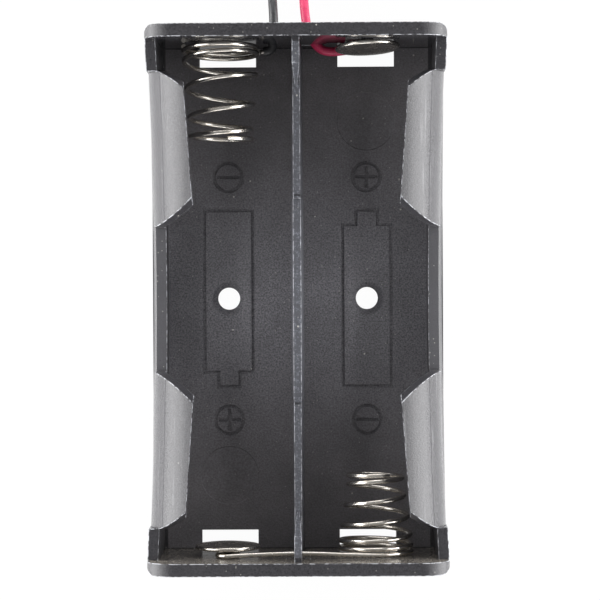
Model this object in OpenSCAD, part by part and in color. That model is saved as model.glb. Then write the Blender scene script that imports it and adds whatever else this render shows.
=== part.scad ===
// Holder for two 18650 lithium cells, side by side and head to tail, with wire leads.
// One black moulding carries everything: a floor, two end walls, a divider and four
// springy clips that curl over the cells. Each bay has a coil spring at one end and a
// nail-headed contact at the other. The right spring's own wire runs on through the
// divider to the left contact, so the two cells are in series.
// Frame: X across the bays, Y along the cells, Z up, origin under the floor's middle.

/* [Cells] */
// Diameter of a cell
cell_d = 18.4; // [18:0.1:18.8]
// Length of a cell
cell_len = 65; // [60:0.5:70]
// Distance between the two cells' axes
bay_pitch = 20; // [19.8:0.1:21]
// Gap between a cell and the inside of a clip
cell_play = 0.3; // [0.1:0.05:0.6]
// Room for the contacts beyond a cell's ends
contact_room = 7.4; // [6.5:0.1:9]

/* [Housing] */
// Thickness of the floor
floor_t = 1.6; // [1.2:0.1:2.4]
// Thickness of the end walls
end_t = 1.8; // [1.4:0.1:2.6]
// Height of the end walls
end_h = 20.6; // [19.4:0.1:23]
// Outer corner radius of the end walls, seen from above
corner_r = 1.2; // [0.5:0.1:3]
// Radius of the end walls' top corners, seen along the cells
top_corner_r = 4; // [1:0.5:4.5]
// Thickness of the side walls and clips
wall_t = 1.5; // [1.1:0.1:2.2]
// Height of the posts where the side walls meet the end walls
post_h = 16; // [12:0.5:18]
// Height of the low side wall between the clips
side_h = 7; // [4:0.5:9]
// How far the side walls bow inwards at mid-length
wall_bow = 0.9; // [0.3:0.1:1.5]
// How far the foot of a side wall stands out beyond its face
foot_out = 1; // [0.2:0.1:1.6]

/* [Clips] */
// Near end of a clip, from the middle of the holder
clip_near = 10.2; // [8:0.2:12]
// Far end of a clip, from the middle of the holder
clip_far = 32.2; // [28:0.2:33]
// Radius of the rounded ends of a clip
clip_end_r = 13.5; // [8:0.5:15]
// Distance from the cell's axis to the lip, at the clip's near end
lip_near = 4; // [3:0.1:6.5]
// Distance from the cell's axis to the lip, at the clip's far end
lip_far = 5.6; // [3:0.1:6.5]
// Fillet between a clip's near end and the low side wall
clip_fillet_r = 1.5; // [0.5:0.1:2.5]

/* [Divider] */
// Thickness of the divider at its top edge
divider_top_t = 1.05; // [0.8:0.05:1.3]
// Thickness of the divider at the floor
divider_base_t = 1.65; // [1.3:0.05:2.2]
// Height of the divider
divider_h = 13; // [8:0.5:16]
// How much lower its middle stretch is
divider_dip = 0.5; // [0.2:0.1:2]
// Half the length of its middle stretch
divider_mid = 14.1; // [8:0.1:20]
// Height of the webs at its ends
web_h = 19.6; // [16:0.1:20.4]
// Length of the webs at full height
web_len = 3.6; // [3:0.1:6]
// Length over which a web slopes down
web_slope_len = 2.8; // [1:0.1:5]
// Thickness of a web's sharp front edge
web_nose_t = 0.35; // [0.2:0.05:0.7]

/* [Floor details] */
// Diameter of the mounting holes
screw_d = 3.2; // [2.5:0.1:4]
// Diameter of their countersinks
sink_d = 4.9; // [4.2:0.1:6.5]
// Width of the slots beside the end walls
slot_w = 8.2; // [6:0.2:11]
// Length of those slots along the cells
slot_len = 2.7; // [1.5:0.1:4]
// Width of the raised lines that mark how the cells go in
mark_line = 0.45; // [0.3:0.05:0.7]
// Height of the raised lines
mark_rise = 0.25; // [0.1:0.05:0.4]
// Length of the battery outline's body
mark_body_len = 23.9; // [18:0.5:26]
// Width of the battery outline
mark_body_w = 7.5; // [6:0.1:9]
// Length of the battery outline's nub
mark_nub_len = 2.1; // [1:0.1:3]
// Width of the battery outline's nub
mark_nub_w = 3.6; // [2:0.1:5]
// Diameter of the ring round each polarity sign
mark_ring_d = 4.5; // [3:0.1:6]
// Distance of the polarity signs from the middle
mark_sign_y = 17.6; // [16:0.1:21]
// Length of the polarity signs' bars
mark_bar_len = 3.2; // [2:0.1:4]
// Diameter of the ejector pin marks
pin_mark_d = 8.3; // [5:0.1:10]
// Distance of the ejector pin marks from the middle
pin_mark_y = 25.6; // [23:0.1:28]
// Depth of the ejector pin marks
pin_mark_deep = 0.08; // [0.05:0.01:0.2]

/* [Springs] */
// Diameter of the spring wire
spring_wire_d = 0.7; // [0.5:0.05:0.9]
// Outer diameter of the left spring at the wall
spring_base_left = 11.1; // [9:0.1:13]
// Outer diameter of the right spring at the wall
spring_base_right = 10.8; // [9:0.1:13]
// Outer diameter of the left spring at its free end
spring_tip_left = 9.3; // [7:0.1:11]
// Outer diameter of the right spring at its free end
spring_tip_right = 8.3; // [7:0.1:11]
// Free length of the left spring
spring_len_left = 14; // [9:0.1:16]
// Free length of the right spring
spring_len_right = 11.8; // [9:0.1:16]
// Height of the springs' axes above the resting surface
spring_z = 10; // [9.2:0.1:11.5]
// How far the left spring stands outwards of its bay's axis
spring_out_left = 0.7; // [0:0.1:1.2]
// How far the right spring stands outwards of its bay's axis
spring_out_right = 0.9; // [0:0.1:1.2]
// Slant of the left spring's first turn, in degrees
spring_slant = 5; // [0:0.5:6]
// Gap between a spring and the wall that it rests on
spring_gap = 0.06; // [0.03:0.01:0.2]

/* [Positive contacts] */
// Diameter of the contacts' heads
nail_head_d = 9.2; // [7:0.1:11]
// Thickness of the heads at the rim
nail_rim_t = 0.6; // [0.4:0.1:1.2]
// Height of the dome on a head
nail_dome_h = 0.4; // [0.2:0.1:1.2]
// Diameter of the shank behind a head
nail_shank_d = 1.8; // [1.2:0.1:2.4]
// Gap between the left head and its wall
nail_stand_left = 1; // [0.8:0.1:2.5]
// Gap between the right head and its wall
nail_stand_right = 0.5; // [0.5:0.1:2.5]
// Backward tilt of the right contact's head
nail_tilt = 5.5; // [0:0.5:5.5]
// Sideways turn of the right contact's head
nail_turn = 2.5; // [0:0.5:2.5]

/* [Leads] */
// Outer diameter of the leads
lead_d = 1.3; // [1.1:0.1:1.6]
// Diameter of the tinned strands
strand_d = 0.6; // [0.4:0.05:0.9]
// Clearance between a lead and its hole in the wall
lead_play = 0.15; // [0.05:0.05:0.3]

/* [Hidden] */
$fn = 64;

plastic = "#2b2b2d";
nickel = "#c9c8c4";
solder = "#9a958c";
red_pvc = "#e23a62";
black_pvc = "#26262a";

eps = 0.01;                                   // overlap that makes two solids one
bay_x = bay_pitch / 2;                        // axis of a bay
seat_r = cell_d / 2 + cell_play;              // inside radius of a clip
clip_r = seat_r + wall_t;                     // outside radius of a clip
axis_z = floor_t + cell_d / 2;                // height of the cells' axes
half_w = bay_x + clip_r;                      // half the holder's width
half_in = (cell_len + contact_room) / 2;      // from the middle to an end wall
half_len = half_in + end_t;                   // half the holder's length
bow_r = (half_in * half_in + wall_bow * wall_bow) / (2 * wall_bow);
bow_sweep = asin((half_in + end_t / 2) / bow_r);   // half its angle, up into the end walls
bow_x = bay_x - wall_bow;                     // a clip's own axis at mid-length
clip_cut = 50;                                // direction in which a clip's ends are cut
clip_mid_x = bow_x + wall_bow / 3;            // a clip's own axis halfway along it
clip_end_x = 5.25;                            // where a clip's rounded ends have their centres
post_lap = 0.4;                               // length over which a post and a clip overlap
divider_swell = 0.05;                         // its middle stretch is this much wider a side
hole_z = 6.5;                                 // height of the leads' holes
black_hole_x = -3.2;
red_hole_x = 1.9;
red_hole_w = 3.4;                             // the red lead crosses its wall at a slant
lip_least = 1.4;                              // a clip's section ends this far from the axis
wire_step = 20;                               // degrees of coil from ring to ring
link_rise = (spring_base_right - spring_wire_d) / 2;
link_z = spring_z + link_rise;
wire_y = half_in - spring_gap - spring_wire_d / 2;
// Of each spring: after so many turns, this share of its length. Both are closed at the
// wall and at the free end, and open between.
left_form = [[0, 0], [0.75, 0.04], [1.75, 0.097], [2.75, 0.372], [3.75, 0.7], [4.75, 0.945], [5.71, 1]];
right_form = [[0, 0], [1, 0.073], [2, 0.173], [3, 0.396], [4, 0.662], [5, 0.928], [6.08, 1]];
form_blend = 0.15;                            // turns over which the pitch changes softly
hook_play = 0.1;
hook_r = (nail_shank_d + spring_wire_d) / 2 + hook_play;
hook_bend_r = 1.6;                            // where the link wire turns down to its hook
link_bow = 0.35;                              // the link stands this far off its wall

// The leads' routes, from inside the end wall to where they are coiled up. Here Y is
// measured from that wall's inner face.
black_route = [
    [-3.2, -0.2, 6.5], [-3.2, 2, 6.5], [-3.2, 4.3, 6.2], [-3.4, 6.8, 5.2],
    [-3.8, 9.3, 3.6], [-4.2, 11.8, 1.9], [-4.2, 14.2, 0.9], [-3.6, 16.2, 0.65]
];
red_route = [
    [bay_x - 3, -0.8, 6.3], [5.2, -0.95, 6.3], [3.7, -0.7, 6.4], [2.6, 0.3, 6.5],
    [1.7, 2, 6.4], [1.3, 4.2, 6], [1.1, 6.8, 5], [1.5, 9.4, 3.6],
    [2.2, 11.8, 1.9], [3.1, 14, 0.9], [3.6, 16.2, 0.65]
];
lead_coil = [10.6, 18.4];                     // centre of a lead's coil
lead_coil_r = 7;                              // radius of the coil's middle
lead_coil_w = 4.6;                            // width of its turns, side by side
black_strand_route = [
    [-3.2, 0.2, 6.5], [-3.4, -0.6, 6.5], [-4.2, -0.9, 6.3], [4.6 - bay_x, -1, 6.3]
];
black_tip_route = [[-5.9, 18.8, 0.65], [-7.4, 20.6, 0.65], [-9.8, 21.6, 0.65]];
red_strand_route = [
    [bay_x - 3.4, -0.9, 6.3], [bay_x - 2.4, -0.6, 6.9],
    [bay_x - 1.6, -0.4, 8.4], [bay_x - 1, -0.35, 9.8]
];
red_tip_route = [[5.9, 18.8, 0.65], [7.4, 20.6, 0.65], [9.8, 21.6, 0.65]];
strand_len = 5;
solder_d = 1.1;                               // the black lead's blob of solder
solder_gap = 0.12;                            // keeps the solder clear of the tilted shank's wall
nail_recess = 0.15;                           // a shank ends this far inside its wall

function unit(v) = v / norm(v);
function step(t) = let (s = max(0, min(1, t))) s * s * (3 - 2 * s);
function along(path, i) = unit(path[min(i + 1, len(path) - 1)] - path[max(i - 1, 0)]);

function share(form, turn) =
    (lookup(turn - form_blend, form) + lookup(turn, form) + lookup(turn + form_blend, form)) / 3;

// The centreline of a spring from the wall to its free end, wound about +Y.
// Its first turns may stand at a slant.
function coil_path(length, base_d, tip_d, form, start, slant) =
    let (
        base_r = (base_d - spring_wire_d) / 2,
        tip_r = (tip_d - spring_wire_d) / 2,
        all_turns = form[len(form) - 1][0],
        steps = round(all_turns * 360 / wire_step)
    )
    [for (i = [0:steps])
        let (
            turn = all_turns * i / steps,
            part = share(form, turn),
            r = base_r + (tip_r - base_r) * step(part),
            a = start + 360 * turn,
            rise = (length - spring_wire_d) * part
        )
        [r * cos(a), rise - sin(slant) * (1 - part) * r * sin(a), r * sin(a)]
    ];

// A round wire or cord: one ring of points at each point of its path.
module wire(path, d, sides, flat) {
    last = len(path) - 1;
    points = [for (i = [0:last])
        let (t = along(path, i), a = unit(cross(t, flat)), b = cross(a, t))
        for (k = [0:sides - 1])
            path[i] + d / 2 * (cos(360 * k / sides) * a + sin(360 * k / sides) * b)
    ];
    skin = [for (i = [0:last - 1], k = [0:sides - 1])
        let (m = (k + 1) % sides)
        [i * sides + k, i * sides + m, (i + 1) * sides + m, (i + 1) * sides + k]
    ];
    near_cap = [for (k = [0:sides - 1]) sides - 1 - k];
    far_cap = [for (k = [0:sides - 1]) last * sides + k];
    polyhedron(points = points, faces = concat(skin, [near_cap, far_cap]), convexity = 10);
}

module both_ends() {
    children();
    mirror([0, 1, 0]) children();
}

module both_sides() {
    children();
    mirror([1, 0, 0]) children();
}

// Section of a side wall with its clip, measured outwards from the cell's axis.
module clip_section() {
    difference() {
        union() {
            translate([0, axis_z]) circle(r = clip_r, $fn = 96);
            polygon([
                [0, 0], [clip_r + foot_out, 0], [clip_r, side_h], [clip_r, axis_z], [0, axis_z]
            ]);
        }
        translate([0, axis_z]) circle(r = seat_r, $fn = 96);
        translate([-clip_r - eps, -eps]) square([clip_r + seat_r + eps, axis_z + eps]);
        translate([-2 * clip_r, -eps]) square([2 * clip_r + lip_least, 4 * clip_r]);
    }
}

module post_section() {
    translate([seat_r, 0]) square([wall_t, post_h]);
}

module low_section() {
    intersection() {
        clip_section();
        square([2 * clip_r, side_h]);
    }
}

// Sweeps a section along the right side wall, which bows inwards at mid-length.
module bowed() {
    translate([bow_x + bow_r, 0, 0])
        rotate([0, 0, 180 - bow_sweep])
            rotate_extrude(angle = 2 * bow_sweep, $fn = 720)
                translate([bow_r, 0]) mirror([1, 0]) children();
}

// A clip's outline, looked at along the direction of its cut ends.
module clip_outline() {
    intersection() {
        translate([clip_end_x, clip_near + clip_end_r]) circle(r = clip_end_r, $fn = 96);
        translate([clip_end_x, clip_far - clip_end_r]) circle(r = clip_end_r, $fn = 96);
    }
    translate([clip_end_x, clip_near]) square([2 * clip_r, clip_far - clip_near]);
    translate([clip_r - clip_fillet_r, clip_near - clip_fillet_r])
        difference() {
            square([clip_r, clip_fillet_r + eps]);
            circle(r = clip_fillet_r);
        }
}

// Keeps what lies outside the lip, whose edge runs at a slant along the clip.
module lip_side() {
    lip_slope = (lip_far - lip_near) / (clip_far - clip_near);
    lip_at_middle = bay_x + lip_near - lip_slope * clip_near;
    linear_extrude(2 * end_h)
        polygon([
            [lip_at_middle, 0], [2 * half_w, 0],
            [2 * half_w, half_len], [lip_at_middle + lip_slope * half_len, half_len]
        ]);
}

module clip() {
    intersection() {
        bowed() clip_section();
        translate([clip_mid_x, 0, axis_z])
            rotate([0, clip_cut, 0])
                linear_extrude(2 * clip_r) clip_outline();
        lip_side();
    }
}

module side_walls() {
    both_sides() {
        bowed() low_section();
        both_ends() clip();
        intersection() {
            bowed() post_section();
            both_ends()
                translate([0, clip_far - post_lap, 0])
                    cube([2 * half_w, half_in - clip_far + post_lap + eps, post_h]);
        }
    }
}

// Outline of the whole holder from above.
module footprint() {
    intersection() {
        square([2 * half_w, 2 * half_len], center = true);
        union() {
            square([2 * half_w, 2 * (half_len - corner_r)], center = true);
            square([2 * (half_w - corner_r), 2 * half_len], center = true);
            both_sides()
                both_ends()
                    translate([half_w - corner_r, half_len - corner_r]) circle(r = corner_r);
        }
    }
}

// An end wall's outline, looked at along the cells.
module end_outline() {
    translate([-half_w, 0]) square([2 * half_w, end_h - top_corner_r]);
    translate([top_corner_r - half_w, 0]) square([2 * (half_w - top_corner_r), end_h]);
    both_sides()
        translate([half_w - top_corner_r, end_h - top_corner_r]) circle(r = top_corner_r);
}

module end_walls() {
    intersection() {
        linear_extrude(end_h)
            intersection() {
                footprint();
                both_ends()
                    translate([-half_w, half_in]) square([2 * half_w, end_t]);
            }
        rotate([90, 0, 0]) linear_extrude(2 * half_len, center = true) end_outline();
    }
}

// One stretch of the divider: thinner at the top than at the floor.
module divider_stretch(from, to, height, spare) {
    translate([0, to, 0])
        rotate([90, 0, 0])
            linear_extrude(to - from)
                polygon([
                    [-divider_base_t / 2 - spare, floor_t - eps],
                    [divider_base_t / 2 + spare, floor_t - eps],
                    [divider_top_t / 2 + spare, height],
                    [-divider_top_t / 2 - spare, height]
                ]);
}

// The tall web at each end of the divider, with a sharp nose that slopes down.
module web() {
    nose_y = half_in - web_len - web_slope_len;
    intersection() {
        linear_extrude(web_h)
            polygon([
                [-divider_top_t / 2, half_in + eps], [divider_top_t / 2, half_in + eps],
                [divider_top_t / 2, half_in - web_len], [web_nose_t / 2, nose_y],
                [-web_nose_t / 2, nose_y], [-divider_top_t / 2, half_in - web_len]
            ]);
        translate([-divider_base_t, 0, 0])
            rotate([90, 0, 90])
                linear_extrude(2 * divider_base_t)
                    polygon([
                        [nose_y, floor_t], [half_in + eps, floor_t], [half_in + eps, web_h],
                        [half_in - web_len, web_h], [nose_y, divider_h]
                    ]);
    }
}

module divider() {
    both_ends() {
        divider_stretch(divider_mid - eps, half_in + eps, divider_h, 0);
        web();
    }
    divider_stretch(-divider_mid, divider_mid, divider_h - divider_dip, divider_swell);
}

module floor_plate() {
    linear_extrude(floor_t) footprint();
}

// The raised battery outline, with its nub towards +Y, and the two polarity signs.
module bay_marks() {
    nub_y = mark_body_len / 2;
    linear_extrude(mark_rise + eps) {
        difference() {
            union() {
                translate([0, -mark_nub_len / 2])
                    square([mark_body_w, mark_body_len], center = true);
                translate([-mark_nub_w / 2, nub_y - mark_nub_len / 2 - eps])
                    square([mark_nub_w, mark_nub_len + eps]);
            }
            translate([0, -mark_nub_len / 2])
                square([mark_body_w - 2 * mark_line, mark_body_len - 2 * mark_line], center = true);
            translate([-mark_nub_w / 2 + mark_line, nub_y - mark_nub_len / 2 - mark_line - eps])
                square([mark_nub_w - 2 * mark_line, mark_nub_len + eps]);
        }
        for (sign = [-1, 1])
            translate([0, sign * mark_sign_y]) {
                difference() {
                    circle(d = mark_ring_d);
                    circle(d = mark_ring_d - 2 * mark_line);
                }
                square([mark_bar_len, mark_line], center = true);
                if (sign > 0)
                    square([mark_line, mark_bar_len], center = true);
            }
    }
}

module floor_cuts() {
    both_sides() {
        translate([bay_x, 0, -eps]) cylinder(d = screw_d, h = floor_t + 2 * eps);
        translate([bay_x, 0, floor_t - (sink_d - screw_d) / 2])
            cylinder(d1 = screw_d, d2 = sink_d + 2 * eps, h = (sink_d - screw_d) / 2 + eps);
        both_ends()
            translate([bay_x - slot_w / 2, half_in - slot_len, -eps])
                cube([slot_w, slot_len, floor_t + 2 * eps]);
    }
    for (side = [-1, 1])
        translate([side * bay_x, side * pin_mark_y, floor_t - pin_mark_deep])
            cylinder(d = pin_mark_d, h = floor_t);
}

module lead_holes() {
    hole_d = lead_d + 2 * lead_play;
    translate([0, half_in - eps, hole_z])
        rotate([-90, 0, 0]) {
            translate([black_hole_x, 0, 0]) cylinder(d = hole_d, h = end_t + 2 * eps);
            for (end = [-1, 1])
                translate([red_hole_x + end * (red_hole_w - hole_d) / 2, 0, 0])
                    cylinder(d = hole_d, h = end_t + 2 * eps);
            translate([red_hole_x - (red_hole_w - hole_d) / 2, -hole_d / 2, 0])
                cube([red_hole_w - hole_d, hole_d, end_t + 2 * eps]);
        }
}

// Where a contact's shank leaves the inner face of its wall: side is -1 or 1.
module at_nail(side) {
    if (side > 0)
        translate([bay_x, half_in, axis_z])
            rotate([0, 0, nail_turn]) rotate([90 - nail_tilt, 0, 0]) children();
    else
        translate([-bay_x, -half_in, axis_z]) rotate([-90, 0, 0]) children();
}

// The window in the divider that lets the link wire through to the other bay.
module link_window() {
    window_h = 2 * spring_wire_d;
    translate([-divider_base_t, -half_in - eps, link_z - window_h / 2])
        cube([2 * divider_base_t, 2 * spring_wire_d + spring_gap, window_h]);
}

module housing() {
    color(plastic)
        difference() {
            union() {
                floor_plate();
                end_walls();
                intersection() {
                    side_walls();
                    translate([-half_w, -half_len, 0]) cube([2 * half_w, 2 * half_len, 2 * end_h]);
                }
                divider();
                translate([bay_x, 0, floor_t - eps]) bay_marks();
                translate([-bay_x, 0, floor_t - eps]) rotate([0, 0, 180]) bay_marks();
            }
            floor_cuts();
            lead_holes();
            link_window();
            for (side = [-1, 1])
                at_nail(side) translate([0, 0, -2 * end_t]) cylinder(d = nail_shank_d, h = 3 * end_t);
        }
}

module negative_spring_left() {
    coil = coil_path(
        spring_len_left, spring_base_left, spring_tip_left, left_form, 180, spring_slant
    );
    color(nickel)
        translate([-bay_x - spring_out_left, wire_y, spring_z])
            mirror([0, 1, 0]) wire(coil, spring_wire_d, 8, [0, 1, 0]);
}

// The wire of the right spring starts as a hook round the left contact's shank, runs
// straight through the divider's window and goes over into the spring's first turn.
module negative_spring_right() {
    coil = coil_path(
        spring_len_right, spring_base_right, spring_tip_right, right_form, 90, 0
    );
    wound = [for (p = coil) [-p[0], p[1], p[2]]];
    nail = [-2 * bay_x - spring_out_right, 0, axis_z - spring_z];
    hook = [for (a = [20:-20:-180]) nail + hook_r * [cos(a), 0, sin(a)]];
    bend = [nail[0] - hook_r + hook_bend_r, 0, link_rise - hook_bend_r];
    corner = [for (a = [180:-18:90]) bend + hook_bend_r * [cos(a), 0, sin(a)]];
    middle = [-bay_x - spring_out_right, link_bow, link_rise];
    link = [middle - [divider_base_t, 0, 0], middle + [divider_base_t, 0, 0]];
    color(nickel)
        translate([bay_x + spring_out_right, -wire_y, spring_z])
            wire(concat(hook, corner, link, wound), spring_wire_d, 8, [0, 1, 0]);
}

// A nail: a domed head that the cell's button meets, on a shank pressed into the wall.
module nail(stand) {
    dome_r = (nail_head_d * nail_head_d / 4 + nail_dome_h * nail_dome_h) / (2 * nail_dome_h);
    translate([0, 0, nail_recess - end_t])
        cylinder(d = nail_shank_d, h = end_t - nail_recess + stand + eps);
    translate([0, 0, stand]) cylinder(d = nail_head_d, h = nail_rim_t);
    translate([0, 0, stand + nail_rim_t - eps])
        intersection() {
            cylinder(d = nail_head_d, h = nail_dome_h + eps);
            translate([0, 0, nail_dome_h - dome_r]) sphere(r = dome_r, $fn = 128);
        }
}

module positive_contact_left() {
    color(nickel) at_nail(-1) nail(nail_stand_left);
}

module positive_contact_right() {
    color(nickel) at_nail(1) nail(nail_stand_right);
}

// Solder at the end of the black lead's strands, beside the left spring's first turn.
module black_solder() {
    color(solder)
        at_lead_wall() translate(black_strand_route[len(black_strand_route) - 1]) sphere(d = solder_d);
}

// Solder that joins the red lead's strands to the right contact's shank.
module red_solder() {
    color(solder)
        at_nail(1)
            translate([0, 0, solder_gap])
                difference() {
                    cylinder(
                        d = nail_shank_d + 2 * strand_d,
                        h = nail_stand_right - 2 * solder_gap
                    );
                    translate([0, 0, -eps])
                        cylinder(d = nail_shank_d, h = nail_stand_right);
                }
}

module at_lead_wall() {
    translate([0, half_in, 0]) children();
}

// The turns of a lead that is coiled up on the surface.
module lead_turns(side) {
    at_lead_wall() translate([side * lead_coil[0], lead_coil[1], 0])
        rotate_extrude()
            translate([lead_coil_r - lead_coil_w / 2, 0]) square([lead_coil_w, lead_d]);
}

module lead_tip(route) {
    last = len(route) - 1;
    end = route[last] + strand_len * along(route, last);
    at_lead_wall() {
        wire(route, lead_d, 8, [0, 0, 1]);
        wire([route[last], end], strand_d, 8, [0, 0, 1]);
    }
}

module black_lead() {
    color(black_pvc) at_lead_wall() {
        wire(black_route, lead_d, 8, [0, 0, 1]);
        wire(black_strand_route, strand_d, 8, [0, 0, 1]);
    }
}

module black_lead_coil() {
    color(black_pvc) lead_turns(-1);
}

module black_lead_tip() {
    color(black_pvc) lead_tip(black_tip_route);
}

module red_lead() {
    color(red_pvc) at_lead_wall() {
        wire(red_route, lead_d, 8, [0, 0, 1]);
        wire(red_strand_route, strand_d, 8, [0, 1, 0]);
    }
}

module red_lead_coil() {
    color(red_pvc) lead_turns(1);
}

module red_lead_tip() {
    color(red_pvc) lead_tip(red_tip_route);
}

housing();
negative_spring_left();
negative_spring_right();
positive_contact_left();
positive_contact_right();
black_solder();
red_solder();
black_lead();
black_lead_coil();
black_lead_tip();
red_lead();
red_lead_coil();
red_lead_tip();
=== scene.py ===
# %% [markdown]
# # A holder for two cylindrical cells
#
# The holder is one black moulding: a floor, two end walls, a divider and four clips that
# curl over the cells. Each bay has a coil spring at one end and a nail-headed contact at
# the other, and two leads come out of one end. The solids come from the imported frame.
# This notebook gives them their finishes, and makes anew what needs finer shapes.

# %% Load the frame
import math

import bmesh
import bpy
from mathutils import Matrix, Vector


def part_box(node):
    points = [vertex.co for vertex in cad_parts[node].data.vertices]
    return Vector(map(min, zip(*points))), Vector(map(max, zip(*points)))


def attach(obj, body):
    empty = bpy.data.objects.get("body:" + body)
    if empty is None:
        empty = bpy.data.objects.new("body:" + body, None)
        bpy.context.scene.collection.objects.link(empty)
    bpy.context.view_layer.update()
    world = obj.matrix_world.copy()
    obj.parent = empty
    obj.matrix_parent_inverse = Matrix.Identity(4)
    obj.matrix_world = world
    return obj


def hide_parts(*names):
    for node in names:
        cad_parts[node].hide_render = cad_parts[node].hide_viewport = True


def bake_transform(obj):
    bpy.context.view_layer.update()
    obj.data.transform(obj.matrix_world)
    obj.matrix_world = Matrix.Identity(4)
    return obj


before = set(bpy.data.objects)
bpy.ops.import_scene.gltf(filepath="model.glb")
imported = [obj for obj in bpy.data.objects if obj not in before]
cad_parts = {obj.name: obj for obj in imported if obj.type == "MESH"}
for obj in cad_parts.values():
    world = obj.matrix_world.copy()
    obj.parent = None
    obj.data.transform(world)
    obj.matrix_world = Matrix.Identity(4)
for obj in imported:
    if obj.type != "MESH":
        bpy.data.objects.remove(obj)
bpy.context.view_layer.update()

MM = 0.001
house_low, house_high = [Vector(corner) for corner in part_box("housing")]
print("housing, mm:", [round((b - a) / MM, 1) for a, b in zip(house_low, house_high)])

# %% [markdown]
# ## Camera
#
# The holder is looked at from straight above and from close by, so the walls lean
# outwards a little. A long lens at 350 mm gives that amount of perspective.

# %% Camera
CAMERA_PLACE = Vector((3.0, 3.5, 350)) * MM
CAMERA_ROLL = -0.3
camera_data = bpy.data.cameras.new("camera")
camera_data.lens = 144.28
camera_data.sensor_width = 36
camera_data.shift_x = 0.0033
camera_data.shift_y = -0.0028
camera_data.clip_start = 0.01
camera = bpy.data.objects.new("camera", camera_data)
towards_middle = Vector((0, 0, -1)).rotation_difference(-CAMERA_PLACE).to_matrix().to_4x4()
roll = Matrix.Rotation(math.radians(CAMERA_ROLL), 4, "Z")
camera.matrix_world = Matrix.Translation(CAMERA_PLACE) @ towards_middle @ roll
bpy.context.scene.collection.objects.link(camera)
bpy.context.scene.camera = camera
print("camera, mm:", [round(c / MM, 1) for c in CAMERA_PLACE])

# %% [markdown]
# ## Leads
#
# Each lead is a limp stranded wire, 1.3 mm over its insulation. It leaves the end wall
# through a hole, sinks to the surface and is wound into a flat coil just outside the
# view. A curve with a round bevel follows that route, which keeps its length exact.

# %% Points and helpers for the leads
LEAD_D = 1.3 * MM
STRAND_D = 0.6 * MM

# A route's points are written in mm, and so are the sizes of its coil.
COIL_CENTRE = Vector((10.6, 54.6, 0.65))
COIL_OUTER_R = 8.6
COIL_PITCH = 1.34
COIL_TURNS = 2.62
COIL_START = math.radians(-16)
POINTS_PER_TURN = 24
COIL_STEPS = round(COIL_TURNS * POINTS_PER_TURN)


def in_metres(points):
    return [Vector(p) * MM for p in points]


def spiral(side):
    """Points, in mm, of a flat coil that winds inwards; side is -1 for black and 1 for red."""
    points = []
    for i in range(COIL_STEPS + 1):
        turn = i / POINTS_PER_TURN
        angle = COIL_START + math.tau * turn
        radius = COIL_OUTER_R - COIL_PITCH * turn
        x = side * (COIL_CENTRE.x - radius * math.cos(angle))
        y = COIL_CENTRE.y + radius * math.sin(angle)
        points.append((x, y, COIL_CENTRE.z))
    return points


print("points in a coil:", COIL_STEPS + 1)


# %% A round wire along a smooth route
def smooth_curve(points, steps):
    """Curve data that passes smoothly through the points."""
    data = bpy.data.curves.new("route", "CURVE")
    data.dimensions = "3D"
    data.resolution_u = steps
    spline = data.splines.new("BEZIER")
    spline.bezier_points.add(len(points) - 1)
    for i, (knot, co) in enumerate(zip(spline.bezier_points, points)):
        before, after = points[max(i - 1, 0)], points[min(i + 1, len(points) - 1)]
        along = (after - before).normalized()
        knot.co = co
        knot.handle_left = co - along * (co - before).length / 3
        knot.handle_right = co + along * (after - co).length / 3
    return data


def mesh_of(data):
    """The mesh that curve data gives."""
    holder = bpy.data.objects.new("route", data)
    bpy.context.scene.collection.objects.link(holder)
    bpy.context.view_layer.update()
    graph = bpy.context.evaluated_depsgraph_get()
    mesh = bpy.data.meshes.new_from_object(holder.evaluated_get(graph))
    bpy.data.objects.remove(holder)
    return mesh


def round_wire(data, diameter, sides):
    """The mesh of curve data that is given a round section and closed ends."""
    data.bevel_depth = diameter / 2
    data.bevel_resolution = sides
    data.use_fill_caps = True
    return mesh_of(data)


def add_piece(name, mesh, body="holder"):
    """A new piece, attached to the body if one is given, and unattached without one."""
    piece = bpy.data.objects.new(name, mesh)
    bpy.context.scene.collection.objects.link(piece)
    if body:
        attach(piece, body)
    return piece


def tube(name, points, diameter, steps=4, sides=4, body="holder"):
    """A round wire or cord along a smooth route, and the points of its middle line."""
    data = smooth_curve(points, steps)
    middle = [v.co.copy() for v in mesh_of(data).vertices]
    mesh = round_wire(data, diameter, sides)
    mesh.name = name
    mesh.polygons.foreach_set("use_smooth", [True] * len(mesh.polygons))
    return add_piece(name, mesh, body), middle


def route_length(points):
    return sum((b - a).length for a, b in zip(points, points[1:]))


# %% The two leads
BLACK_OUT = [
    (-4.6, 35.3, 6.3), (-3.7, 35.5, 6.4), (-3.25, 36.6, 6.5), (-3.2, 38.2, 6.5),
    (-3.25, 40.5, 6.2), (-3.4, 43, 5.2), (-3.5, 45.5, 3.6), (-3.2, 47.8, 1.9), (-2.7, 50, 0.95),
]
RED_OUT = [
    (7, 35.4, 6.3), (5.2, 35.25, 6.3), (3.7, 35.5, 6.4), (2.6, 36.5, 6.5),
    (1.7, 38.2, 6.4), (1.3, 40.4, 6), (1.1, 43, 5), (1.2, 45.6, 3.6),
    (1.6, 47.9, 1.9), (2.1, 50, 0.95),
]
black_points = in_metres(BLACK_OUT + spiral(-1))
red_points = in_metres(RED_OUT + spiral(1))
black_lead, black_middle = tube("black_wire", black_points, LEAD_D)
red_lead, red_middle = tube("red_wire", red_points, LEAD_D)
print("leads, mm:", [round(route_length(m) / MM, 1) for m in (black_middle, red_middle)])

# %% Tinned ends of the leads
STRAND_REACH = (-1, 1, 3, 5)


def strand_route(points):
    """Where the bare strands go on from the end of a coil, from a little inside it."""
    end = points[-1]
    ahead = (end - points[-3]).normalized()
    return [end + ahead * reach * MM for reach in STRAND_REACH]


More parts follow.
